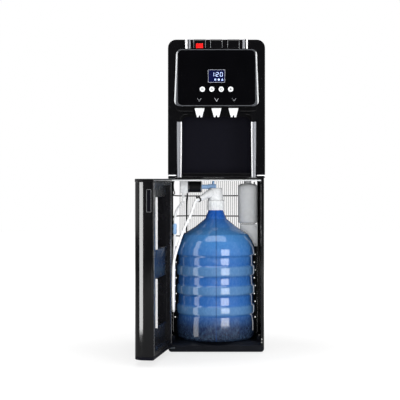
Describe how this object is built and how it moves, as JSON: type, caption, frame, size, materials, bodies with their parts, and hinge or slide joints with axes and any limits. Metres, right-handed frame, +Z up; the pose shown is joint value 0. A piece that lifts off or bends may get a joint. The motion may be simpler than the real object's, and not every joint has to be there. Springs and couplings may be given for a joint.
{
  "type": "bottom-loading water dispenser",
  "caption": "Free-standing water dispenser with a head of taps and keys over a drip bay, and a hinged door open on a ribbed bottle with its hose and pump.",
  "frame": {"origin": "on the floor under the middle of the cabinet, at the foot of the base's centre boss", "axes": "+X to the right of someone facing the taps, +Y to the back, +Z up"},
  "size_m": [0.4176, 0.6135, 1.0418],
  "materials": {
    "head_gloss_black": "high gloss black moulding",
    "panel_glass": "mirror-gloss black panel",
    "side_metal": "black powder-coated sheet",
    "satin_black": "satin black moulding",
    "bright_trim": "bright chrome plating",
    "white_plastic": "semi-gloss white moulding",
    "grey_plastic": "satin light grey moulding",
    "steel": "plain steel",
    "wire_grid": "grey painted wire over black tube",
    "red_plastic": "semi-gloss red moulding",
    "display": "navy backlit display",
    "blue_bottle": "clear blue polycarbonate",
    "hose_silicone": "translucent white silicone",
    "pale_blue_plastic": "clear pale blue moulding",
    "black_rubber": "matt black rubber"
  },
  "bodies": {
    "cabinet": {"back_cover": "side_metal", "base_pan": "satin_black", "bay_liner": "satin_black", "bay_sill": "satin_black", "bay_trim_left": "bright_trim", "bay_trim_right": "bright_trim", "check_valve": "pale_blue_plastic", "cold_tank": "steel", "compressor": "side_metal", "compressor_deck": "steel", "condenser": "wire_grid", "control_panel": "panel_glass", "cord_bush": "black_rubber", "display_window": "display", "filter_canister": "grey_plastic", "foot_front_left": "black_rubber", "foot_front_right": "black_rubber", "foot_rear_left": "black_rubber", "foot_rear_right": "black_rubber", "front_fascia": "head_gloss_black", "hinge_bracket_lower": "steel", "hinge_bracket_upper": "steel", "hose_union": "pale_blue_plastic", "hot_tank": "steel", "lower_back_panel": "side_metal", "panel_bezel": "bright_trim", "pump_head": "white_plastic", "pump_inlet_tube": "hose_silicone", "pump_motor": "satin_black", "side_panel_left": "side_metal", "side_panel_right": "side_metal", "sill_trim": "white_plastic", "tap_cold": "white_plastic", "tap_hot": "white_plastic", "tap_room": "white_plastic", "terminal_box": "grey_plastic", "top_cover": "head_gloss_black", "top_trim_left": "bright_trim", "top_trim_right": "bright_trim"},
    "door": {"door_outer": "head_gloss_black", "door_liner": "satin_black", "door_top_cap": "head_gloss_black", "door_bottom_cap": "satin_black", "door_grip_cup": "satin_black"},
    "bottle": {"water_bottle": "blue_bottle", "bottle_cap": "white_plastic", "dip_tube": "white_plastic", "supply_hose": "hose_silicone"},
    "drip_tray_body": {"drip_tray": "satin_black"},
    "drip_grille_body": {"drip_grille": "steel"},
    "key_hot": {"dispense_key_hot": "head_gloss_black"},
    "key_room": {"dispense_key_room": "head_gloss_black"},
    "key_cold": {"dispense_key_cold": "head_gloss_black"},
    "child_lock": {"child_lock_slider": "red_plastic"},
    "button_1": {"control_button_1": "white_plastic"},
    "button_2": {"control_button_2": "white_plastic"},
    "button_3": {"control_button_3": "white_plastic"},
    "button_4": {"control_button_4": "white_plastic"},
    "hot_rocker": {"hot_switch": "red_plastic"},
    "cold_rocker": {"cold_switch": "white_plastic"}
  },
  "joints": [
    {"name": "door_hinge", "type": "hinge", "parent": "cabinet", "child": "door", "pos_m": [-0.1545, -0.1317, 0.3], "axis": [0, 0, -1], "range_deg": [-99, 10]},
    {"name": "bottle_slide", "type": "slide", "parent": "cabinet", "child": "bottle", "axis": [0, -1, 0], "range_m": [0, 0.27]},
    {"name": "drip_tray_slide", "type": "slide", "parent": "cabinet", "child": "drip_tray_body", "axis": [0, -1, 0], "range_m": [0, 0.11]},
    {"name": "drip_grille_lift", "type": "slide", "parent": "drip_tray_body", "child": "drip_grille_body", "axis": [0, 0, 1], "range_m": [0, 0.03]},
    {"name": "key_hot_press", "type": "hinge", "parent": "cabinet", "child": "key_hot", "pos_m": [-0.0557, -0.1325, 1.03], "axis": [1, 0, 0], "range_deg": [0, 2.2], "stiffness_Nm_per_rad": 0.8, "springref_deg": -8.02},
    {"name": "key_room_press", "type": "hinge", "parent": "cabinet", "child": "key_room", "pos_m": [-0.0003, -0.1325, 1.03], "axis": [1, 0, 0], "range_deg": [0, 2.2], "stiffness_Nm_per_rad": 0.8, "springref_deg": -8.02},
    {"name": "key_cold_press", "type": "hinge", "parent": "cabinet", "child": "key_cold", "pos_m": [0.0557, -0.1325, 1.03], "axis": [1, 0, 0], "range_deg": [0, 2.2], "stiffness_Nm_per_rad": 0.8, "springref_deg": -8.02},
    {"name": "child_lock_slide", "type": "slide", "parent": "key_hot", "child": "child_lock", "axis": [1, 0, 0], "range_m": [0, 0.006]},
    {"name": "button_1_press", "type": "slide", "parent": "cabinet", "child": "button_1", "axis": [0, 1, 0], "range_m": [0, 0.001], "stiffness_N_per_m": 60, "springref_m": -0.002},
    {"name": "button_2_press", "type": "slide", "parent": "cabinet", "child": "button_2", "axis": [0, 1, 0], "range_m": [0, 0.001], "stiffness_N_per_m": 60, "springref_m": -0.002},
    {"name": "button_3_press", "type": "slide", "parent": "cabinet", "child": "button_3", "axis": [0, 1, 0], "range_m": [0, 0.001], "stiffness_N_per_m": 60, "springref_m": -0.002},
    {"name": "button_4_press", "type": "slide", "parent": "cabinet", "child": "button_4", "axis": [0, 1, 0], "range_m": [0, 0.001], "stiffness_N_per_m": 60, "springref_m": -0.002},
    {"name": "hot_switch_rock", "type": "hinge", "parent": "cabinet", "child": "hot_rocker", "pos_m": [-0.06, 0.162, 0.94], "axis": [1, 0, 0], "range_deg": [0, 10]},
    {"name": "cold_switch_rock", "type": "hinge", "parent": "cabinet", "child": "cold_rocker", "pos_m": [-0.02, 0.162, 0.94], "axis": [1, 0, 0], "range_deg": [0, 10]}
  ]
}
